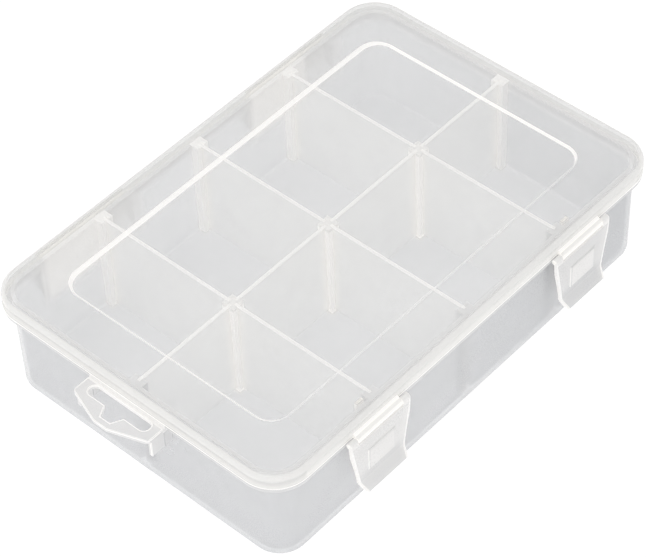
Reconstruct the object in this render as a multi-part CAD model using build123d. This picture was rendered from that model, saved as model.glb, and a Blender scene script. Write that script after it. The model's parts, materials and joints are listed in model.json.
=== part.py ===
from build123d import *
import os

# Eight-compartment sorting box in clear moulded plastic: a tray with removable dividers,
# a hinged lid and two snap latches. Millimetres. X runs along the length (the hang tab is
# at -X), -Y is the latch side, +Y is the hinge side, +Z is up. The origin is the centre of
# the tray's underside.

os.makedirs("parts", exist_ok=True)

# --- Driving sizes: lid ---------------------------------------------------------------
lid_length = 205.0
lid_width = 139.0
overall_height = 47.0
lid_corner_radius = 14.5
lid_thickness = 1.6
lid_edge_radius = 2.2
skirt_depth = 6.0
skirt_thickness = 1.4
panel_inset_x = 18.9
panel_inset_y = 18.9
panel_corner_radius = 8.5
panel_recess = 0.7
panel_slope = 0.8

# --- Driving sizes: tray --------------------------------------------------------------
wall_inset = 3.5
wall_thickness = 1.5
wall_draft = 0.25
floor_thickness = 1.6
foot_radius = 2.5
inner_foot_radius = 1.0
top_clearance = 0.4
flange_thickness = 1.4
flange_inset = 0.2
parting_gap = 0.3

# --- Driving sizes: dividers, posts and slot bosses -----------------------------------
compartment_pitch = 49.5
divider_thickness = 1.3
slot_clearance = 0.1
divider_edge_radius = 0.4
post_top = 5.4
post_foot = 4.4
post_core = 2.4
boss_width = 5.6
boss_depth = 3.0
boss_slot_depth = 1.8

# --- Driving sizes: hang tab ----------------------------------------------------------
tab_half_width = 17.8
tab_side_reach = 7.7
tab_tip_reach = 12.8
tab_tip_half_width = 3.0
tab_corner_radius = 1.8
tab_thickness = 1.6
hang_slot_length = 28.2
hang_slot_width = 4.9
hang_slot_gap = 0.9
hang_lobe_half_width = 4.6
hang_lobe_tip_half_width = 2.3
hang_lobe_reach = 4.4
hang_lobe_radius = 1.2
tab_rib_thickness = 1.4
tab_rib_depth = 7.2
tab_rib_setback = 1.2

# --- Driving sizes: rear hinges -------------------------------------------------------
hinge_spacing = 109.0
hinge_axis_out = 1.8
hinge_axis_drop = 9.0
hinge_barrel_radius = 2.0
hinge_barrel_length = 42.4
hinge_flap_thickness = 1.6
hinge_flap_shift = 0.2
hinge_web_thickness = 1.4
hinge_pin_radius = 1.2
hinge_pin_clearance = 0.05
hinge_pin_recess = 0.2
hinge_side_gap = 0.3
lug_thickness = 2.8
lug_eye_radius = 2.6
lug_foot_drop = 6.5
lug_head_rise = 4.0

# --- Driving sizes: front latches -----------------------------------------------------
latch_spacing = 109.0
latch_axis_out = 1.5
latch_axis_drop = 0.6
latch_barrel_radius = 1.2
latch_barrel_length = 22.2
latch_ledge_height = 1.9
latch_ledge_reach = 1.0
latch_ledge_fall = 0.6
latch_pin_radius = 0.75
latch_pin_clearance = 0.05
latch_pin_recess = 0.4
latch_side_gap = 0.3
ear_width = 3.5
ear_radius = 1.2
latch_plate_out = 1.2
latch_thickness = 1.3
latch_plate_top_drop = 1.6
latch_edge_radius = 0.3
latch_bend_drop = 20.8
latch_bend_half_width = 11.7
latch_waist_drop = 12.5
latch_waist_half_width = 13.2
lip_reach = 2.9
lip_drop = 4.8
lip_half_width = 10.0
lip_nose = 0.9
pad_width = 14.0
pad_height = 10.5
pad_raise = 0.5
pad_corner_radius = 1.5
pad_top_drop = 7.8
hook_width = 16.0
hook_height = 2.2
hook_reach = 2.7
catch_width = 17.0
catch_height = 4.0
catch_plate_gap = 0.9
catch_hook_gap = 0.5
catch_drop = 13.5

# --- Driving sizes: locating pegs under the lid, inside the front wall ------------------
peg_spacing = 110.0
peg_width = 3.4
peg_thickness = 1.4
peg_depth = 7.0
peg_wall_gap = 0.9
peg_corner_radius = 0.5

# --- Derived sizes --------------------------------------------------------------------
lid_top = overall_height
lid_underside = lid_top - lid_thickness
skirt_bottom = lid_top - skirt_depth
tray_top = lid_underside - top_clearance
flange_top = skirt_bottom - parting_gap
flange_bottom = flange_top - flange_thickness
wall_length = lid_length - 2 * wall_inset
wall_width = lid_width - 2 * wall_inset
wall_corner_radius = lid_corner_radius - wall_inset
inner_half_x = wall_length / 2 - wall_thickness
inner_half_y = wall_width / 2 - wall_thickness
divider_top = tray_top
slot_width = divider_thickness + 2 * slot_clearance
end_slot_x = inner_half_x - boss_depth + boss_slot_depth
end_slot_y = inner_half_y - boss_depth + boss_slot_depth
row_x = (-compartment_pitch, 0.0, compartment_pitch)
hinge_y = lid_width / 2 + hinge_axis_out
hinge_axis_z = skirt_bottom - hinge_axis_drop
latch_y = -lid_width / 2 - latch_axis_out
latch_z = skirt_bottom - latch_axis_drop
hinge_x = (-hinge_spacing / 2, hinge_spacing / 2)
latch_x = (-latch_spacing / 2, latch_spacing / 2)
peg_x = (-peg_spacing / 2, peg_spacing / 2)
wall_root = wall_thickness / 2


def rounded_block(length, width, radius, low, high):
    return Pos(0, 0, low) * extrude(RectangleRounded(length, width, radius), high - low)


def drafted_block(length, width, radius, draft, low, high):
    foot = Pos(0, 0, low) * RectangleRounded(length - 2 * draft, width - 2 * draft, radius)
    head = Pos(0, 0, high) * RectangleRounded(length, width, radius)
    return loft([foot, head])


def span(x0, x1, y0, y1, z0, z1):
    """A block between two limits along each axis."""
    size = Box(abs(x1 - x0), abs(y1 - y0), abs(z1 - z0))
    return Pos((x0 + x1) / 2, (y0 + y1) / 2, (z0 + z1) / 2) * size


def across(points, x0, x1):
    """A side profile, drawn as (y, z) points, run along X from x0 to x1."""
    face = make_face(Polyline(*[(0, y, z) for y, z in points], close=True))
    return Pos(x0, 0, 0) * extrude(face, x1 - x0, dir=(1, 0, 0))


def rod(x0, x1, y, z, radius):
    """A round bar along X."""
    return Pos((x0 + x1) / 2, y, z) * Rot(0, 90, 0) * Cylinder(radius, abs(x1 - x0))


def bottom_edges(shape):
    return shape.faces().sort_by(Axis.Z)[0].edges()


def top_edges(shape):
    return shape.faces().sort_by(Axis.Z)[-1].edges()


# --- Tray: drafted shell with a flat floor ---------------------------------------------
shell = drafted_block(wall_length, wall_width, wall_corner_radius, wall_draft, 0, tray_top)
shell = fillet(bottom_edges(shell), foot_radius)
cavity = drafted_block(
    2 * inner_half_x,
    2 * inner_half_y,
    wall_corner_radius - wall_thickness,
    wall_draft,
    floor_thickness,
    tray_top,
)
cavity = fillet(bottom_edges(cavity), inner_foot_radius)
tray = shell - cavity

# Flange below the lid's skirt, all round.
flange = rounded_block(
    lid_length - 2 * flange_inset,
    lid_width - 2 * flange_inset,
    lid_corner_radius - flange_inset,
    flange_bottom,
    flange_top,
)
flange_hole = rounded_block(
    wall_length - wall_thickness,
    wall_width - wall_thickness,
    wall_corner_radius - wall_thickness / 2,
    flange_bottom - 1,
    flange_top + 1,
)
tray += flange - flange_hole

# Slot bosses on the four walls, one at every divider's end.
boss_foot = floor_thickness / 2
for x in row_x:
    for side in (-1, 1):
        tray += span(
            x - boss_width / 2,
            x + boss_width / 2,
            side * (inner_half_y - boss_depth),
            side * (inner_half_y + wall_root),
            boss_foot,
            tray_top,
        )
for side in (-1, 1):
    tray += span(
        side * (inner_half_x - boss_depth),
        side * (inner_half_x + wall_root),
        -boss_width / 2,
        boss_width / 2,
        boss_foot,
        tray_top,
    )

# Square posts on the centre line, where the dividers cross.
for x in row_x:
    foot = Pos(x, 0, boss_foot) * Rectangle(post_foot, post_foot)
    head = Pos(x, 0, tray_top) * Rectangle(post_top, post_top)
    tray += loft([foot, head])

# Slots that hold the dividers.
slot_top = tray_top + 1
for x in row_x:
    for side in (-1, 1):
        tray -= span(
            x - slot_width / 2,
            x + slot_width / 2,
            side * (inner_half_y - boss_depth - 1),
            side * end_slot_y,
            floor_thickness,
            slot_top,
        )
        tray -= span(
            x - slot_width / 2,
            x + slot_width / 2,
            side * post_core / 2,
            side * post_top,
            floor_thickness,
            slot_top,
        )
        tray -= span(
            x + side * post_core / 2,
            x + side * post_top,
            -slot_width / 2,
            slot_width / 2,
            floor_thickness,
            slot_top,
        )
for side in (-1, 1):
    tray -= span(
        side * (inner_half_x - boss_depth - 1),
        side * end_slot_x,
        -slot_width / 2,
        slot_width / 2,
        floor_thickness,
        slot_top,
    )

# Hang tab on the -X end, with its shaped hang slot and a rib under each side.
tab_top = flange_bottom
tab_bottom = tab_top - tab_thickness
tab_root = -wall_length / 2 + wall_root
tab_side = -lid_length / 2 - tab_side_reach
tab_tip = -lid_length / 2 - tab_tip_reach
tab_outline = Polygon(
    (tab_root, -tab_half_width),
    (tab_root, tab_half_width),
    (tab_side, tab_half_width),
    (tab_tip, tab_tip_half_width),
    (tab_tip, -tab_tip_half_width),
    (tab_side, -tab_half_width),
    align=None,
)
outer_corners = tab_outline.vertices().sort_by(Axis.X)[:4]
tab_outline = fillet(outer_corners, tab_corner_radius)
slot_x = -lid_length / 2 - hang_slot_gap - hang_slot_width / 2
hang_slot = Pos(slot_x, 0) * RectangleRounded(
    hang_slot_width, hang_slot_length, hang_slot_width / 2 - 0.1
)
lobe_x = slot_x - hang_slot_width / 2
lobe = Polygon(
    (slot_x, -hang_lobe_half_width),
    (slot_x, hang_lobe_half_width),
    (lobe_x, hang_lobe_half_width),
    (lobe_x - hang_lobe_reach, hang_lobe_tip_half_width),
    (lobe_x - hang_lobe_reach, -hang_lobe_tip_half_width),
    (lobe_x, -hang_lobe_half_width),
    align=None,
)
lobe = fillet(lobe.vertices().sort_by(Axis.X)[:2], hang_lobe_radius)
tab_face = tab_outline - (hang_slot + lobe)
tray += Pos(0, 0, tab_bottom) * extrude(tab_face, tab_thickness)
rib_bottom = tab_bottom - tab_rib_depth
for side in (-1, 1):
    tray += span(
        tab_side + tab_rib_setback,
        tab_root,
        side * (tab_half_width - tab_rib_thickness),
        side * tab_half_width,
        rib_bottom,
        tab_bottom + tab_thickness / 2,
    )

# Hinge lugs on the rear wall: two eyes at each hinge.
lug_root = wall_width / 2 - wall_root
lug_inner = hinge_barrel_length / 2 + hinge_side_gap
lug_outer = lug_inner + lug_thickness
for centre in hinge_x:
    for side in (-1, 1):
        x0 = centre + side * lug_inner
        x1 = centre + side * lug_outer
        lug = across(
            [
                (lug_root, hinge_axis_z - lug_foot_drop),
                (hinge_y, hinge_axis_z - lug_eye_radius),
                (hinge_y, hinge_axis_z + lug_eye_radius),
                (lug_root, hinge_axis_z + lug_head_rise),
            ],
            min(x0, x1),
            max(x0, x1),
        )
        lug += rod(x0, x1, hinge_y, hinge_axis_z, lug_eye_radius)
        eye = hinge_pin_radius + hinge_pin_clearance
        lug -= rod(x0 - side, x1 + side, hinge_y, hinge_axis_z, eye)
        tray += lug

# Latch catches on the front wall.
plate_inner = latch_y - latch_plate_out + latch_thickness
plate_outer = latch_y - latch_plate_out
catch_root = -wall_width / 2 + wall_root
catch_nose = plate_inner + catch_plate_gap
catch_bottom = latch_z - catch_drop
for centre in latch_x:
    tray += across(
        [
            (catch_root, catch_bottom),
            (catch_nose, catch_bottom),
            (catch_nose, catch_bottom + catch_height / 2),
            (catch_root, catch_bottom + 1.5 * catch_height),
        ],
        centre - catch_width / 2,
        centre + catch_width / 2,
    )

# --- Lid: rounded top with a skirt and a shallow recessed panel ---------------------------
lid = rounded_block(lid_length, lid_width, lid_corner_radius, skirt_bottom, lid_top)
lid = fillet(top_edges(lid), lid_edge_radius)
lid_hollow = rounded_block(
    lid_length - 2 * skirt_thickness,
    lid_width - 2 * skirt_thickness,
    lid_corner_radius - skirt_thickness,
    skirt_bottom,
    lid_underside,
)
lid_hollow = fillet(top_edges(lid_hollow), lid_edge_radius - skirt_thickness)
lid -= lid_hollow
panel_length = lid_length - 2 * panel_inset_x
panel_width = lid_width - 2 * panel_inset_y
panel_floor = Pos(0, 0, lid_top - panel_recess) * RectangleRounded(
    panel_length - 2 * panel_slope,
    panel_width - 2 * panel_slope,
    panel_corner_radius - panel_slope,
)
panel_mouth = Pos(0, 0, lid_top) * RectangleRounded(
    panel_length, panel_width, panel_corner_radius
)
lid -= loft([panel_floor, panel_mouth])

# Hinge flaps: a web off the skirt, a leaf down to the barrel, and a pin at each end.
leaf_outer = hinge_y + hinge_flap_shift
leaf_inner = leaf_outer - hinge_flap_thickness
skirt_root = lid_width / 2 - skirt_thickness / 2
for centre in hinge_x:
    x0 = centre - hinge_barrel_length / 2
    x1 = centre + hinge_barrel_length / 2
    lid += across(
        [
            (skirt_root, skirt_bottom),
            (leaf_inner, skirt_bottom),
            (leaf_inner, hinge_axis_z),
            (leaf_outer, hinge_axis_z),
            (leaf_outer, skirt_bottom + hinge_web_thickness / 2),
            (leaf_outer - hinge_flap_thickness / 2, skirt_bottom + hinge_web_thickness),
            (skirt_root, skirt_bottom + hinge_web_thickness),
        ],
        x0,
        x1,
    )
    lid += rod(x0, x1, hinge_y, hinge_axis_z, hinge_barrel_radius)
    pin_reach = hinge_side_gap + lug_thickness - hinge_pin_recess
    lid += rod(x0 - pin_reach, x1 + pin_reach, hinge_y, hinge_axis_z, hinge_pin_radius)

# Latch brackets on the front skirt, each a ledge over a barrel, with a pin at each end.
front_root = -lid_width / 2 + skirt_thickness / 2
ledge_top = skirt_bottom + latch_ledge_height
barrel_flank = latch_barrel_radius * 0.7
for centre in latch_x:
    x0 = centre - latch_barrel_length / 2
    x1 = centre + latch_barrel_length / 2
    lid += across(
        [
            (front_root, skirt_bottom),
            (latch_y, latch_z),
            (latch_y - barrel_flank, latch_z + barrel_flank),
            (-lid_width / 2 - latch_ledge_reach, ledge_top - latch_ledge_fall),
            (-lid_width / 2, ledge_top),
            (front_root, ledge_top),
        ],
        x0,
        x1,
    )
    lid += rod(x0, x1, latch_y, latch_z, latch_barrel_radius)
    pin_reach = latch_side_gap + ear_width - latch_pin_recess
    lid += rod(x0 - pin_reach, x1 + pin_reach, latch_y, latch_z, latch_pin_radius)

# Locating pegs: short tabs that stand just inside the tray's front wall.
peg_y = -inner_half_y + peg_wall_gap + peg_thickness / 2
peg_root = lid_thickness / 2
for x in peg_x:
    peg_face = Plane.XZ * RectangleRounded(peg_width, peg_depth + peg_root, peg_corner_radius)
    peg_z = lid_underside + peg_root - (peg_depth + peg_root) / 2
    lid += Pos(x, peg_y + peg_thickness / 2, peg_z) * extrude(peg_face, peg_thickness, dir=(0, -1, 0))


# --- Latches -----------------------------------------------------------------------------
def make_latch(centre):
    plate_top = latch_z - latch_plate_top_drop
    bend = latch_z - latch_bend_drop
    lip_end = bend - lip_drop
    half_top = latch_barrel_length / 2 + latch_side_gap + ear_width
    waist = latch_z - latch_waist_drop
    # Side profile: flat plate, then the finger lip that flares outwards.
    plate = across(
        [
            (plate_outer, plate_top),
            (plate_outer, bend),
            (plate_outer - lip_reach, lip_end + lip_nose),
            (plate_outer - lip_reach + lip_nose, lip_end),
            (plate_inner, bend - latch_thickness / 2),
            (plate_inner, plate_top),
        ],
        centre - half_top,
        centre + half_top,
    )
    # Front outline: full width at the shoulders, drawn in to the lip.
    shoulder, hip, corner = (half_top, plate_top), (latch_waist_half_width, waist), (latch_bend_half_width, bend)
    right = Spline(shoulder, hip, corner)
    left = Spline((-corner[0], bend), (-hip[0], waist), (-shoulder[0], plate_top))
    foot = Polyline(corner, (lip_half_width, lip_end), (-lip_half_width, lip_end), (-corner[0], bend))
    head = Line((-half_top, plate_top), (half_top, plate_top))
    outline = Plane.XZ * make_face([right, foot, left, head])
    trim_front = plate_outer - lip_reach - lip_nose
    trim = Pos(centre, trim_front, 0) * extrude(outline, plate_inner + hook_reach - trim_front, dir=(0, 1, 0))
    latch = plate & trim
    latch = fillet(latch.faces().sort_by(Axis.Y)[0].edges(), latch_edge_radius)
    # Ears that turn on the lid's pins.
    for side in (-1, 1):
        x0 = centre + side * (half_top - ear_width)
        x1 = centre + side * half_top
        ear = rod(x0, x1, latch_y, latch_z, ear_radius)
        ear += span(x0, x1, plate_outer, plate_inner, plate_top - latch_thickness / 2, latch_z)
        latch += ear
    eye = latch_pin_radius + latch_pin_clearance
    latch -= rod(centre - half_top - 1, centre + half_top + 1, latch_y, latch_z, eye)
    # Raised thumb pad.
    pad_z = latch_z - pad_top_drop - pad_height / 2
    pad_face = Plane.XZ * RectangleRounded(pad_width, pad_height, pad_corner_radius)
    pad = Pos(centre, plate_outer + latch_thickness / 2, pad_z) * extrude(
        pad_face, pad_raise + latch_thickness / 2, dir=(0, -1, 0)
    )
    pad = fillet(pad.faces().sort_by(Axis.Y)[0].edges(), pad_raise / 2)
    latch += pad
    # Hook that holds under the tray's catch.
    hook_top = catch_bottom - catch_hook_gap
    hook_root = plate_inner - latch_thickness / 2
    latch += across(
        [
            (hook_root, hook_top),
            (plate_inner + hook_reach, hook_top),
            (plate_inner + hook_reach, hook_top - hook_height / 2),
            (hook_root, hook_top - hook_height),
        ],
        centre - hook_width / 2,
        centre + hook_width / 2,
    )
    return latch


def make_divider(x0, x1, y0, y1):
    plate = span(x0, x1, y0, y1, floor_thickness, divider_top)
    along = Axis.X if x1 - x0 > y1 - y0 else Axis.Y
    rims = top_edges(plate).filter_by(along)
    return fillet(rims, divider_edge_radius)


nodes = {"tray": tray, "lid": lid}
for name, centre in zip(("left", "right"), latch_x):
    nodes[f"latch_{name}"] = make_latch(centre)

# Dividers: six across the box and four along its centre line.
half_plate = divider_thickness / 2
core_edge = post_core / 2 + slot_clearance
far_y = end_slot_y - slot_clearance
far_x = end_slot_x - slot_clearance
for name, x in zip(("left", "middle", "right"), row_x):
    low, high = x - half_plate, x + half_plate
    nodes[f"cross_divider_{name}_front"] = make_divider(low, high, -far_y, -core_edge)
    nodes[f"cross_divider_{name}_rear"] = make_divider(low, high, core_edge, far_y)
long_spans = {
    "left_end": (-far_x, row_x[0] - core_edge),
    "left_middle": (row_x[0] + core_edge, row_x[1] - core_edge),
    "right_middle": (row_x[1] + core_edge, row_x[2] - core_edge),
    "right_end": (row_x[2] + core_edge, far_x),
}
for name, (x0, x1) in long_spans.items():
    nodes[f"long_divider_{name}"] = make_divider(x0, x1, -half_plate, half_plate)

for name, shape in nodes.items():
    solids = shape.solids()
    print(name, "solids", len(solids), "volume", round(shape.volume, 1))
    export_step(shape, f"parts/{name}.step")
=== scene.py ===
# %% [markdown]
# # A clear sorting box, piece by piece
#
# The object is a flat box in frosted clear plastic with eight compartments. Its pieces are
# already built at their real size in the imported frame, so this lesson is about what makes moulded
# clear plastic look right: light that comes through it, a soft haze in the wall, bright thick
# edges, partly painted as highlight lines and glow, and the faint flow marks and scuffs of a used
# moulding.

# %% Load the frame
import json
import math
import bpy
from mathutils import Matrix, Vector


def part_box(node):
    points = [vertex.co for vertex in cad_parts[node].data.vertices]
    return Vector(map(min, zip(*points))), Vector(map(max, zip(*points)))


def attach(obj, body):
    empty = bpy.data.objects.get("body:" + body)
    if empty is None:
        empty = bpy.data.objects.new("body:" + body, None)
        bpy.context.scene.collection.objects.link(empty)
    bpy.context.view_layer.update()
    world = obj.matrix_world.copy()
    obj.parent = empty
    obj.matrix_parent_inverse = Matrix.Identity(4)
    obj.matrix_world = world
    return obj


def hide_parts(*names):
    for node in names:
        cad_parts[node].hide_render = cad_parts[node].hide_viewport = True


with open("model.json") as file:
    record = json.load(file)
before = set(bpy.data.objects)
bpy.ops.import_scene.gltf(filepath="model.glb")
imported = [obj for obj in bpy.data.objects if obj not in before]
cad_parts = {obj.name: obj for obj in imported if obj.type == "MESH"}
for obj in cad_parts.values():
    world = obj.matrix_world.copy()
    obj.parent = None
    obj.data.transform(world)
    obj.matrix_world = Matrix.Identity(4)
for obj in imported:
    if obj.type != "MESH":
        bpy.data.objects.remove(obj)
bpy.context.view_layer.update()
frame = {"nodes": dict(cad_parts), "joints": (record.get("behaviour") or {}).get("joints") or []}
nodes = frame["nodes"]
bpy.ops.object.select_all(action="DESELECT")

# %% [markdown]
# The plastics and the latches are worked out in millimetres. The outermost corners and the latch
# axis come from the frame, and they drive the rest: the skirt hangs a set depth below the lid's
# top, the tab lies under the skirt, and so on.

# %% Main sizes
MM = 0.001


def millimetres(point):
    return [round(value / MM, 3) for value in point]


tray_low, tray_high = (millimetres(corner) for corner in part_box("tray"))
lid_high = millimetres(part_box("lid")[1])
axis_of = {joint["name"]: millimetres(joint["pos_m"]) for joint in frame["joints"]}
LATCH_X, AXIS_Y, AXIS_Z = axis_of["latch_right_hinge"]
TRAY_TOP, LID_TOP = tray_high[2], lid_high[2]
SKIRT_DEPTH, UNDER_SKIRT = 6.0, 1.8
SKIRT_BOTTOM = LID_TOP - SKIRT_DEPTH
LID_HALF_X, LID_HALF_Y, LID_CORNER = lid_high[0], 69.5, 14.5
WALL_INSET = 3.5
WALL_HALF_X, WALL_HALF_Y, WALL_CORNER = LID_HALF_X - WALL_INSET, LID_HALF_Y - WALL_INSET, 11.0
PITCH, HINGE_X = 49.5, 54.5
print("tray top", TRAY_TOP, "lid top", LID_TOP, "latch axis", (LATCH_X, AXIS_Y, AXIS_Z))

# %% [markdown]
# The view is a long lens from high on the corner between the latch side and the hang tab's end. A
# long lens keeps the box's sides almost parallel. The camera is placed by the point that it looks
# at, its compass angle, its height angle, its roll and its distance.

# %% Camera
LOOK_AT = Vector((-0.0048, -0.0008, 0.0205))
AZIMUTH, ELEVATION, ROLL = -46.1436, 47.0842, -2.8001
DISTANCE, LENS = 0.95253, 147.26


def place_camera():
    azimuth, elevation, roll = (math.radians(v) for v in (AZIMUTH, ELEVATION, ROLL))
    level = math.cos(elevation)
    back = Vector((math.sin(azimuth) * level, -math.cos(azimuth) * level, math.sin(elevation)))
    flat_right = Vector((math.cos(azimuth), math.sin(azimuth), 0))
    flat_up = back.cross(flat_right)
    right = flat_right * math.cos(roll) + flat_up * math.sin(roll)
    up = flat_up * math.cos(roll) - flat_right * math.sin(roll)
    bpy.ops.object.camera_add()
    camera = bpy.context.object
    camera.name = "studio_camera"
    turn = Matrix((right, up, back)).transposed().to_4x4()
    camera.matrix_world = Matrix.Translation(LOOK_AT + back * DISTANCE) @ turn
    camera.data.lens = LENS
    camera.data.sensor_width = 36.0
    camera.data.clip_start = 0.01
    bpy.context.scene.camera = camera
    return camera


camera = place_camera()
print("camera at", tuple(round(v, 3) for v in camera.location))

# %% [markdown]
# Shader maths reads best as ordinary expressions. `Wire` wraps a socket, so that `1 - mask * 0.3`
# adds the Math nodes it needs. Every other node comes from `Shader.node`, which takes the node's
# type, its settings and its inputs. `above`, `below` and `within` are soft steps, by which a mask
# says where on the piece it lies.

# %% A small helper for shader nodes


class Wire:
    def __init__(self, shader, socket):
        self.shader = shader
        self.socket = socket

    def maths(self, operation, *values):
        return self.shader.node("ShaderNodeMath", {"operation": operation}, dict(enumerate(values)))

    def __add__(self, other):
        return self.maths("ADD", self, other)

    def __radd__(self, other):
        return self.maths("ADD", other, self)

    def __sub__(self, other):
        return self.maths("SUBTRACT", self, other)

    def __rsub__(self, other):
        return self.maths("SUBTRACT", other, self)

    def __mul__(self, other):
        return self.maths("MULTIPLY", self, other)

    def __rmul__(self, other):
        return self.maths("MULTIPLY", other, self)

    def __abs__(self):
        return self.maths("ABSOLUTE", self)

    def least(self, other):
        return self.maths("MINIMUM", self, other)

    def most(self, other):
        return self.maths("MAXIMUM", self, other)

    def ramp(self, start, end):
        settings = {"interpolation_type": "SMOOTHSTEP"}
        if start < end:
            values = {"Value": self, "From Min": start, "From Max": end}
        else:
            values = {"Value": self, "From Min": end, "From Max": start, "To Min": 1.0, "To Max": 0.0}
        return self.shader.node("ShaderNodeMapRange", settings, values)

    def above(self, level, soft):
        return self.ramp(level - soft, level + soft)

    def below(self, level, soft):
        return self.ramp(level + soft, level - soft)

    def within(self, half, soft):
        return abs(self).below(half, soft)


class Shader:
    def __init__(self, name):
        self.material = bpy.data.materials.new(name)
        self.material.use_nodes = True
        self.tree = self.material.node_tree
        self.tree.nodes.clear()

    def node(self, kind, settings=None, inputs=None, output=0):
        made = self.tree.nodes.new(kind)
        for key, value in (settings or {}).items():
            setattr(made, key, value)
        for key, value in (inputs or {}).items():
            if isinstance(value, Wire):
                self.tree.links.new(value.socket, made.inputs[key])
            else:
                made.inputs[key].default_value = value
        return Wire(self, made.outputs[output]) if made.outputs else made

    def place(self):
        return self.node("ShaderNodeTexCoord", output="Object")

    def axes(self):
        split = self.node("ShaderNodeSeparateXYZ", {}, {"Vector": self.place()})
        return [Wire(self, split.socket.node.outputs[i]) * (1 / MM) for i in range(3)]

    def facing(self):
        normal = self.node("ShaderNodeNewGeometry", output="Normal")
        split = self.node("ShaderNodeSeparateXYZ", {}, {"Vector": normal})
        return [Wire(self, split.socket.node.outputs[i]) for i in range(3)]

    def noise(self, scale, detail=2.0, roughness=0.5, stretch=(1, 1, 1), turn=(0, 0, 0), shift=(0, 0, 0)):
        settings = {"Vector": self.place(), "Scale": stretch, "Rotation": turn, "Location": shift}
        mapped = self.node("ShaderNodeMapping", {}, settings)
        values = {"Vector": mapped, "Scale": scale, "Detail": detail, "Roughness": roughness}
        return self.node("ShaderNodeTexNoise", {}, values)

    def mix_colour(self, share, first, second):
        values = {0: share, 6: first, 7: second}
        return self.node("ShaderNodeMix", {"data_type": "RGBA"}, values, output=2)

    def finish(self, surface):
        self.node("ShaderNodeOutputMaterial", {}, {"Surface": surface})
        return self.material


print("shader helper ready")

# %% [markdown]
# Frosted clear plastic is neither glass nor white plastic. Light passes through a thin wall with
# a grey-blue cast, while a thick rib, post or rolled edge scatters it and looks ivory white. So
# each surface here is a milky skin whose opacity says how much plastic the light has to cross:
# `thick` runs from 0 on a thin wall to 1 on an edge. The scattered light itself is painted in as
# a weak emission glow.

# %% Tones of the plastic
WALL_TONE = (0.745, 0.75, 0.765, 1)
# SHADE_TONE is painted shade, used on the tray's outer walls.
SHADE_TONE = (0.6, 0.61, 0.63, 1)
RIB_TONE = (0.92, 0.92, 0.915, 1)
THICK_TONE = (0.95, 0.935, 0.91, 1)
# The glow tint and the line glow are painted light: an emission that stands in for light scattered in the
# plastic and for the bright edge lines.
PAINTED_GLOW_TINT = (1.0, 0.985, 0.955)
PAINTED_LINE_GLOW = 0.24
THICK_ALPHA = 0.97


def painted_glow_colour(strength):
    return (*(strength * channel for channel in PAINTED_GLOW_TINT), 1)


def thickest(first, *others):
    for other in others:
        first = first.most(other)
    return first


print("wall", WALL_TONE[:3], "thick", THICK_TONE[:3])

# %% [markdown]
# One recipe serves all four mouldings. `thick` raises the opacity, warms the tone and adds a weak
# painted glow. The edge-line mask paints a cut or rounded edge as a bright highlight, with more
# opacity and a stronger emission glow. A slow cloud varies the haze and the gloss, a
# stretched noise gives the flow marks their bump, and a fine grain breaks up the highlights.

# %% The plastic itself
def moulded_plastic(shader, thick, painted_highlight, thin_tone, thin_alpha, thin_painted_glow, thick_painted_glow):
    cloud = shader.noise(24.0, 2.0, 0.55, shift=(0.3, 0.1, 0.7))
    flow = shader.noise(90.0, 1.0, 0.5, stretch=(0.25, 1.0, 1.0), shift=(1.3, 0.4, 0.2))
    grain = shader.noise(2600.0, 0.0)
    # The highlight lines also raise the opacity and warm the tone, as painted highlight.
    milk = thick.most(painted_highlight).most(0.0).least(1.0)
    haze = (cloud - 0.5) * 0.14 + (flow - 0.5) * 0.06
    alpha = thin_alpha + milk * (THICK_ALPHA - thin_alpha) + haze * (1.0 - milk * 0.7)
    share = (milk + haze * 0.5).most(0.0).least(1.0)
    colour = shader.mix_colour(share, thin_tone, THICK_TONE)
    # Painted glow: an emission for scattered light, stronger on thick places and brightest on the
    # highlight lines.
    painted_glow = shader.mix_colour(share, painted_glow_colour(thin_painted_glow), painted_glow_colour(thick_painted_glow))
    painted_glow = shader.mix_colour(painted_highlight, painted_glow, painted_glow_colour(PAINTED_LINE_GLOW))
    rough = 0.28 + (cloud - 0.5) * 0.16 + (grain - 0.5) * 0.08
    height = grain * 0.03 + flow
    bump = shader.node("ShaderNodeBump", {}, {"Height": height, "Strength": 0.2, "Distance": 0.0004})
    values = {
        "Base Color": colour,
        "Roughness": rough.most(0.06),
        "Alpha": alpha.most(0.02).least(1.0),
        "Normal": bump,
        "IOR": 1.49,
        "Emission Color": painted_glow,
        "Emission Strength": 1.0,
    }
    return shader.finish(shader.node("ShaderNodeBsdfPrincipled", {}, values))


print("plastic recipe ready")

# %% [markdown]
# Masks find the thick places from the position in millimetres. A rounded rectangle's distance
# formula does most of the work: it is 0 on the outline, negative inside, and it follows the
# corners.

# %% Distance to a rounded outline
def outline_distance(shader, x, y, half_x, half_y, corner):
    past_x = abs(x) - (half_x - corner)
    past_y = abs(y) - (half_y - corner)
    out_x, out_y = past_x.most(0.0), past_y.most(0.0)
    reach = shader.node("ShaderNodeMath", {"operation": "SQRT"}, {0: out_x * out_x + out_y * out_y})
    return reach + past_x.most(past_y).least(0.0) - corner


print("outline helper ready")

# %% [markdown]
# The lid's thick places are its rolled rim, its skirt and hem, the slope round its sunk panel,
# the hinge leaves at the rear, and the ledge and barrel of each latch bracket at the front. The
# hem, the panel's slope and the bracket ledge also carry painted highlight lines. A few long,
# thin scuffs cross the panel.

# %% Lid plastic
PANEL_INSET, PANEL_CORNER, PANEL_SLOPE = 18.9, 8.5, 0.8
PEG_X, PEG_HALF = 55.0, 2.2
SKIRT_TONE = (0.86, 0.86, 0.845, 1)


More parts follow.
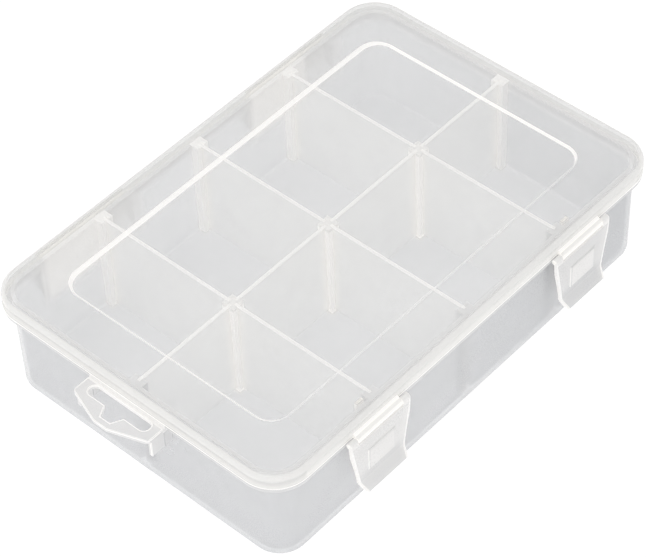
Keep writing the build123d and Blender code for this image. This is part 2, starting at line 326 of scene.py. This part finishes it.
def panel_outline(shader, x, y, z):
    half_x, half_y = LID_HALF_X - PANEL_INSET, LID_HALF_Y - PANEL_INSET
    panel = outline_distance(shader, x, y, half_x, half_y, PANEL_CORNER)
    # The panel's outline is a painted highlight line, broader on the rear side and fainter on the front
    # side, as the light falls.
    broad = y.above(half_y - 2.6, 2.0) * 0.35
    faint = y.below(1.6 - half_y, 1.0) * 0.45
    slope = (abs(panel + PANEL_SLOPE / 2) - broad).below(0.535, 0.085)
    return slope * z.above(LID_TOP - 0.9, 0.1) * (0.9 - faint)


def lid_plastic():
    shader = Shader("lid_plastic")
    x, y, z = shader.axes()
    outline = outline_distance(shader, x, y, LID_HALF_X, LID_HALF_Y, LID_CORNER)
    skirt = outline.above(-1.55, 0.35)
    hem = skirt * z.below(SKIRT_BOTTOM + 0.45, 0.25)
    rolled = outline.above(-1.8, 0.8) * z.above(LID_TOP - 2.0, 0.6)
    underneath = z.below(LID_TOP - 2.05, 0.35)
    leaf = underneath * y.above(LID_HALF_Y + 0.4, 0.3)
    peg = underneath * (abs(x) - PEG_X).within(PEG_HALF, 0.2) * y.within(WALL_HALF_Y - 0.5, 0.5)
    bracket = y.below(-LID_HALF_Y - 0.15, 0.25)
    ledge = y.below(-LID_HALF_Y - 0.05, 0.15) * y.above(-LID_HALF_Y - 1.25, 0.25)
    ledge = ledge * z.above(SKIRT_BOTTOM + 0.5, 0.3)
    scuff = shader.noise(900.0, 2.0, 0.5, stretch=(0.02, 1.0, 1.0), turn=(0, 0, 0.7)).above(0.76, 0.04)
    thick = thickest(rolled * 0.55, leaf * 0.3, peg * 0.9, bracket * 0.5) + scuff * 0.05
    # Hem, panel slope and bracket ledge: painted highlight lines.
    painted_highlight = thickest(hem * 0.8, panel_outline(shader, x, y, z), ledge * 0.9)
    tone = shader.mix_colour(skirt, RIB_TONE, SKIRT_TONE)
    return moulded_plastic(shader, thick, painted_highlight, tone, 0.13 + skirt * 0.38, 0.02, 0.14)


print("lid finish ready")

# %% [markdown]
# The tray is thin nearly everywhere. Its floor edge and the outside of its front and right-hand
# walls are painted greyer and more opaque, as painted shade; at the floor edge it is strongest on
# the front and left-hand sides. It turns ivory where the hinge lugs root in the rear wall, at the
# posts and at the bosses that hold the dividers. The hang tab is as grey as the wall, with painted
# highlight lines on its edges as thin as a hair.

# %% Hang tab outline
TAB_TIP, TAB_TIP_HALF = tray_low[0], 3.0
TAB_SIDE, TAB_HALF = -LID_HALF_X - 7.7, 17.8
TAB_TOP, TAB_THICKNESS = SKIRT_BOTTOM - UNDER_SKIRT, 1.6
RIB_END = TAB_SIDE + 1.2
SLOT_X, SLOT_HALF_X, SLOT_HALF_Y = -LID_HALF_X - 3.35, 2.45, 14.1
LOBE_ROOT, LOBE_HALF = SLOT_X - SLOT_HALF_X, 4.6
LOBE_TIP, LOBE_TIP_HALF = LOBE_ROOT - 4.4, 2.3


def tapered_distance(x, y, root, root_half, tip, tip_half):
    run = math.hypot(root - tip, root_half - tip_half)
    out_x, out_y = (tip_half - root_half) / run, (root - tip) / run
    slanted = (x - root) * out_x + (abs(y) - root_half) * out_y
    return (abs(y) - root_half).most(slanted).most(tip - x)


def tab_lines(shader, x, y, z):
    tab = tapered_distance(x, y, TAB_SIDE, TAB_HALF, TAB_TIP, TAB_TIP_HALF)
    lobe = tapered_distance(x, y, LOBE_ROOT, LOBE_HALF, LOBE_TIP, LOBE_TIP_HALF)
    slot = outline_distance(shader, x - SLOT_X, y, SLOT_HALF_X, SLOT_HALF_Y, SLOT_HALF_X)
    hole = slot.least(lobe.most(x - SLOT_X))
    # Painted highlight lines along the tab's outline, its slot and lobe, and at the rib ends.
    rims = tab.above(-0.475, 0.125).most(hole.below(0.475, 0.125)) * z.above(TAB_TOP - 0.6, 0.2)
    rib_end = (x - RIB_END).within(0.4, 0.1) * z.below(TAB_TOP - TAB_THICKNESS, 0.2)
    return rims.most(rib_end * y.below(0.7 - TAB_HALF, 0.1))


print("tab from", TAB_SIDE, "to", TAB_TIP)

# %% Tray plastic
BOSS_HALF, BOSS_DEPTH = 2.9, 4.6
HALF_SEAT, SEAT_X, SEAT_SHIFT = 16.0, 53.5, 9.0


def divider_sockets(x, y, z, wall):
    column = (abs(x) - PITCH).within(BOSS_HALF, 0.2).most(x.within(BOSS_HALF, 0.2))
    post = y.within(BOSS_HALF, 0.3) * column * (0.9 - z.above(TRAY_TOP - 1.25, 0.75) * 0.35)
    rear = y.above(WALL_HALF_Y - BOSS_DEPTH, 0.2) * 0.85
    front = y.below(BOSS_DEPTH - WALL_HALF_Y, 0.2) * 0.3
    right = x.above(WALL_HALF_X - BOSS_DEPTH, 0.2) * y.within(BOSS_HALF, 0.2) * 0.85
    return post.most((column * (rear + front)).most(right) * wall.below(-0.35, 0.15))


def hinge_roots(x, y, z):
    cloudy = (abs(x + SEAT_SHIFT) - SEAT_X).within(HALF_SEAT, 3.0) * 0.7
    # The broad mask over both hinge zones is painted light: a paler veil over the shade between the hinge
    # leaves and the wall.
    shadow_veil = (abs(x) - HINGE_X).within(25.75, 1.25) * 0.36
    seat = cloudy.most(shadow_veil) * y.above(WALL_HALF_Y - 1.9, 0.3) * z.above(23.5, 3.5)
    return seat.most(y.above(LID_HALF_Y + 0.5, 0.3) * 0.5)


def tray_plastic():
    shader = Shader("tray_plastic")
    x, y, z = shader.axes()
    wall = outline_distance(shader, x, y, WALL_HALF_X, WALL_HALF_Y, WALL_CORNER)
    skin = wall.above(-0.5, 0.2) * z.below(TAB_TOP, 0.2)
    # Painted shade: the outer skin of the front and right-hand walls is toned darker and more opaque, and
    # the foot of the walls more so on the front and left-hand sides.
    near = x.below(3.0 - WALL_HALF_X, 1.0).most(y.below(3.0 - WALL_HALF_Y, 1.0))
    foot_shade = skin * z.below(3.0, 2.0) * (0.3 + near * 0.7)
    shade = (skin * (x - y).above(70.0, 40.0) * 0.75).most(foot_shade)
    tone = shader.mix_colour(shade, WALL_TONE, SHADE_TONE)
    haze = 0.38 + shade * 0.14 + foot_shade * 0.34
    on_tab = x.below(-LID_HALF_X - 0.6, 0.2)
    # The tab root is thick plastic, and its brightening here also paints light over the gap shadow
    # between the tab and the lid's skirt.
    root = x.below(-WALL_HALF_X, 0.5) * x.above(-LID_HALF_X - 1.2, 0.5)
    root = root * y.within(TAB_HALF + 0.15, 0.25) * z.above(TAB_TOP - 1.95, 0.25)
    flange = wall.above(0.3, 0.2) * x.above(-LID_HALF_X - 0.2, 0.2)
    # Painted light near the top of the wall's inner face, against the shade under the lid's rim.
    brim_light = wall.above(-1.95, 0.25) * z.above(TRAY_TOP - 4.0, 2.5)
    thick = thickest(flange * 0.3, brim_light * 0.35, on_tab * 0.45, root * 0.7)
    thick = thickest(thick, divider_sockets(x, y, z, wall), hinge_roots(x, y, z))
    # Painted highlight line along the wall top.
    rim = z.above(TRAY_TOP - 0.45, 0.35)
    painted_highlight = (rim * 0.4).most(on_tab * tab_lines(shader, x, y, z) * 0.75)
    return moulded_plastic(shader, thick, painted_highlight, tone, haze, 0.0, 0.2)


print("tray finish ready")

# %% [markdown]
# The dividers are thin ribs with a weak painted glow, painted slightly milkier towards the top,
# ending in a painted highlight along the top edge. The latches are a stiffer, milkier moulding: a
# pale plate with a slightly thicker pad, painted highlight lines on the edges down both sides, and
# a greyer lip.

# %% Divider and latch plastics
PLATE_BEND, PLATE_WAIST = AXIS_Z - 21.2, 11.7
PAD_HALF, PAD_MIDDLE = 7.0, AXIS_Z - 13.1


def divider_plastic():
    shader = Shader("divider_plastic")
    height = shader.axes()[2]
    # Painted highlight along the top edge, and painted light that makes the rib milkier towards the top.
    top = height.above(TRAY_TOP - 0.45, 0.25)
    thick = height.ramp(0.0, TRAY_TOP) * 0.12
    return moulded_plastic(shader, thick, top * 0.7, RIB_TONE, 0.34, 0.11, 0.16)


def latch_plastic():
    shader = Shader("latch_plastic")
    x, y, z = shader.axes()
    side = abs(abs(x) - LATCH_X)
    # Painted highlight lines: on the side faces (edge) and along the plate's outline (border).
    edge = abs(shader.facing()[0]).above(0.45, 0.15)
    rise = z - PLATE_BEND
    half_width = rise.most(0.0) * 0.18 + rise.least(0.0) * 0.36 + PLATE_WAIST
    border = (side - half_width).above(-0.85, 0.25)
    pad = side.below(PAD_HALF - 0.4, 1.0) * (z - PAD_MIDDLE).within(5.0, 0.8)
    ears = z.above(AXIS_Z - 1.9, 0.3)
    # fade greys the plate towards the lip and lifts it again below the bend, painted light against the
    # shade of the bend.
    fade = rise.below(3.1, 2.7) * 0.2 - rise.below(0.1, 0.3) * 0.1
    plate = 0.54 - fade - x.above(30.0, 30.0) * 0.14
    thick = thickest(pad * 0.66, ears * 0.7, plate)
    return moulded_plastic(shader, thick, edge.most(border) * 0.75, WALL_TONE, 0.6, 0.0, 0.12)


print("divider and latch finishes ready")

# %% Each piece gets its plastic
finish_of = {
    "tray": tray_plastic(),
    "lid": lid_plastic(),
    "latch": latch_plastic(),
    "divider": divider_plastic(),
}
for name, piece in nodes.items():
    kind = "divider" if "divider" in name else name.split("_")[0]
    for slot in piece.material_slots:
        slot.material = finish_of[kind]
print("plastics:", sorted(m.name for m in bpy.data.materials))

# %% [markdown]
# A snap latch is one moulding: a plate with two ears that turn on the lid's pins, a finger lip
# that flares away from the wall, a raised thumb pad and a hook behind. The real one has softened
# edges everywhere, and they are what catches the light. The plate could be cut from a block, but
# drawing it as a ribbon, by pulling one edge down step by step and narrowing it on the way,
# follows how its outline runs. Solidify then gives it its wall.

# %% Tools for modelling in millimetres
def only(piece):
    bpy.ops.object.select_all(action="DESELECT")
    piece.select_set(True)
    bpy.context.view_layer.objects.active = piece


def apply(piece, kind, **settings):
    only(piece)
    modifier = piece.modifiers.new(kind.lower(), kind)
    for key, value in settings.items():
        setattr(modifier, key, value)
    bpy.ops.object.modifier_apply(modifier=modifier.name)


def settle(piece):
    only(piece)
    bpy.ops.object.transform_apply(location=True, rotation=True, scale=True)
    return piece


def block(name, low, high, round_off=0.0):
    bpy.ops.object.select_all(action="DESELECT")
    centre = [(a + b) / 2 * MM for a, b in zip(low, high)]
    bpy.ops.mesh.primitive_cube_add(size=1.0, location=centre)
    piece = bpy.context.object
    piece.name = name
    piece.scale = [(b - a) * MM for a, b in zip(low, high)]
    settle(piece)
    if round_off:
        apply(piece, "BEVEL", width=round_off * MM, segments=3)
    return piece


def weld(piece, others):
    for other in others:
        apply(piece, "BOOLEAN", operation="UNION", solver="EXACT", object=other)
        bpy.data.objects.remove(other, do_unlink=True)
    return piece


print("modelling tools ready")

# %% [markdown]
# The ribbon starts as a flat plane as wide as the shoulders. Each step pulls its lower edge down
# by a stretch, out by a flare, and to a new width.

# %% Latch plate
SHOULDER, THICKNESS = 14.9, 1.3
EAR_RADIUS = 1.2
FACE_Y = AXIS_Y - EAR_RADIUS
PLATE_TOP, TOP_BAND = AXIS_Z - 1.6, 0.8
STEPS = (
    (4.0, 0.0, 14.55),
    (4.4, 0.0, 13.6),
    (4.2, 0.0, 12.7),
    (3.9, 0.0, 12.0),
    (2.3, 0.0, 11.7),
    (0.9, -0.3, 11.45),
    (1.4, -1.0, 10.9),
    (1.9, -1.35, 10.2),
)


def latch_plate(centre):
    bpy.ops.object.select_all(action="DESELECT")
    place = (centre * MM, FACE_Y * MM, (PLATE_TOP - TOP_BAND / 2) * MM)
    bpy.ops.mesh.primitive_plane_add(size=1.0, location=place)
    plate = bpy.context.object
    plate.name = "latch_plate"
    plate.rotation_euler = (math.radians(90), 0, 0)
    plate.scale = (2 * SHOULDER * MM, TOP_BAND * MM, 1.0)
    settle(plate)
    bpy.ops.object.mode_set(mode="EDIT")
    bpy.ops.mesh.select_mode(type="EDGE")
    bpy.ops.mesh.select_all(action="DESELECT")
    bpy.ops.object.mode_set(mode="OBJECT")
    low = min(v.co.z for v in plate.data.vertices)
    for edge in plate.data.edges:
        edge.select = all(abs(plate.data.vertices[i].co.z - low) < 1e-6 for i in edge.vertices)
    bpy.ops.object.mode_set(mode="EDIT")
    width, depth, height = SHOULDER, FACE_Y, PLATE_TOP - TOP_BAND
    for fall, flare, half in STEPS:
        depth, height = depth + flare, height - fall
        bpy.ops.mesh.extrude_region_move(TRANSFORM_OT_translate={"value": (0, flare * MM, -fall * MM)})
        bpy.ops.transform.resize(
            value=(half / width, 1, 1), center_override=(centre * MM, depth * MM, height * MM)
        )
        width = half
    bpy.ops.object.mode_set(mode="OBJECT")
    apply(plate, "SOLIDIFY", thickness=THICKNESS * MM, offset=-1.0)
    only(plate)
    bpy.ops.object.mode_set(mode="EDIT")
    bpy.ops.mesh.select_all(action="SELECT")
    bpy.ops.mesh.normals_make_consistent(inside=False)
    bpy.ops.object.mode_set(mode="OBJECT")
    reach = [round(max(v.co[i] for v in plate.data.vertices) / MM, 2) for i in range(3)]
    print("plate reaches", reach, "faces", len(plate.data.polygons))
    return plate


# %% [markdown]
# The ears are short tubes on the lid's pins, each with a neck down to the plate. The pad and the
# hook are blocks with softened edges. Boolean union welds everything into one skin, because in
# clear plastic the buried faces of pieces that only overlap would show. One last bevel softens
# the edges that the welds made.

# %% Ears, pad and hook
EAR_WIDTH, EYE_RADIUS = 3.5, 0.8
PAD_TOP, PAD_HEIGHT, PAD_RAISE = AXIS_Z - 7.8, 10.5, 0.35
HOOK_HALF, HOOK_TOP, HOOK_HEIGHT, HOOK_REACH = 8.0, 26.4, 2.2, 2.7


def ear(centre, side):
    middle = centre + side * (SHOULDER - EAR_WIDTH / 2)
    bpy.ops.object.select_all(action="DESELECT")
    place = (middle * MM, AXIS_Y * MM, AXIS_Z * MM)
    turn = (0, math.radians(90), 0)
    bpy.ops.mesh.primitive_cylinder_add(
        vertices=40, radius=EAR_RADIUS * MM, depth=EAR_WIDTH * MM, location=place, rotation=turn
    )
    tube = settle(bpy.context.object)
    tube.name = "latch_ear"
    half = EAR_WIDTH / 2
    neck = block(
        "latch_neck",
        (middle - half, FACE_Y, PLATE_TOP - 0.6),
        (middle + half, FACE_Y + THICKNESS, AXIS_Z),
    )
    weld(tube, [neck])
    bpy.ops.mesh.primitive_cylinder_add(
        vertices=32, radius=EYE_RADIUS * MM, depth=(EAR_WIDTH + 2) * MM, location=place, rotation=turn
    )
    eye = settle(bpy.context.object)
    apply(tube, "BOOLEAN", operation="DIFFERENCE", solver="EXACT", object=eye)
    bpy.data.objects.remove(eye, do_unlink=True)
    return tube


def make_latch(name, centre):
    latch = latch_plate(centre)
    inner = FACE_Y + THICKNESS
    pad = block(
        "latch_pad",
        (centre - PAD_HALF, FACE_Y - PAD_RAISE, PAD_TOP - PAD_HEIGHT),
        (centre + PAD_HALF, FACE_Y + THICKNESS / 2, PAD_TOP),
        0.45,
    )
    hook = block(
        "latch_hook",
        (centre - HOOK_HALF, inner - THICKNESS / 2, HOOK_TOP - HOOK_HEIGHT),
        (centre + HOOK_HALF, inner + HOOK_REACH, HOOK_TOP),
        0.3,
    )
    weld(latch, [ear(centre, -1), ear(centre, 1), pad, hook])
    apply(latch, "BEVEL", width=0.25 * MM, segments=2, limit_method="ANGLE", angle_limit=math.radians(50))
    only(latch)
    bpy.ops.object.shade_smooth_by_angle(angle=math.radians(35))
    latch.name = name
    latch.data.name = name
    latch.data.materials.clear()
    latch.data.materials.append(finish_of["latch"])
    return latch


for side, centre in (("left", -LATCH_X), ("right", LATCH_X)):
    snap = make_latch(f"snap_latch_{side}", centre)
    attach(snap, f"latch_{side}_body")
    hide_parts(f"latch_{side}")
    print(snap.name, "faces", len(snap.data.polygons))

# %% [markdown]
# The box stands on a pale table that glows a little, as a light table does, because clear plastic
# only shows its form against an even bright ground. Two large, weak lamps give the rims and edges
# their soft direction. They are hidden from reflections, which keeps the layered walls free of
# bright specks. A ray may cross twenty walls or more here, so the limit on transparent bounces is
# raised.

# %% Table and light


def make_table():
    bpy.ops.object.select_all(action="DESELECT")
    bpy.ops.mesh.primitive_plane_add(size=6.0, location=(0, 0, -0.0002))
    table = bpy.context.object
    table.name = "studio_table"
    bpy.ops.object.transform_apply(location=True, rotation=True, scale=True)
    shader = Shader("pale_table")
    values = {
        "Base Color": (0.25, 0.25, 0.25, 1),
        "Roughness": 0.9,
        "Emission Color": (1, 1, 1, 1),
        "Emission Strength": 0.85,
    }
    table.data.materials.append(shader.finish(shader.node("ShaderNodeBsdfPrincipled", {}, values)))
    return table


def soft_lamp(name, location, size, power):
    bpy.ops.object.light_add(type="AREA", location=location)
    lamp = bpy.context.object
    lamp.name = name
    lamp.data.shape = "RECTANGLE"
    lamp.data.size, lamp.data.size_y = size
    lamp.data.energy = power
    lamp.visible_glossy = False
    lamp.rotation_euler = (Vector((0, 0, 0)) - Vector(location)).to_track_quat("-Z", "Y").to_euler()
    return lamp


table = make_table()
soft_lamp("overhead", (-0.3, 0.2, 1.2), (0.9, 0.9), 2)
soft_lamp("front_left", (-0.9, -0.6, 0.8), (0.5, 0.5), 2)
world = bpy.data.worlds.new("studio_world")
bpy.context.scene.world = world
world.use_nodes = True
world.node_tree.nodes["Background"].inputs["Color"].default_value = (0.65, 0.65, 0.655, 1)
world.node_tree.nodes["Background"].inputs["Strength"].default_value = 1.0
bpy.context.scene.view_settings.view_transform = "Standard"
bpy.context.scene.cycles.transparent_max_bounces = 40
print("table and lamps ready")
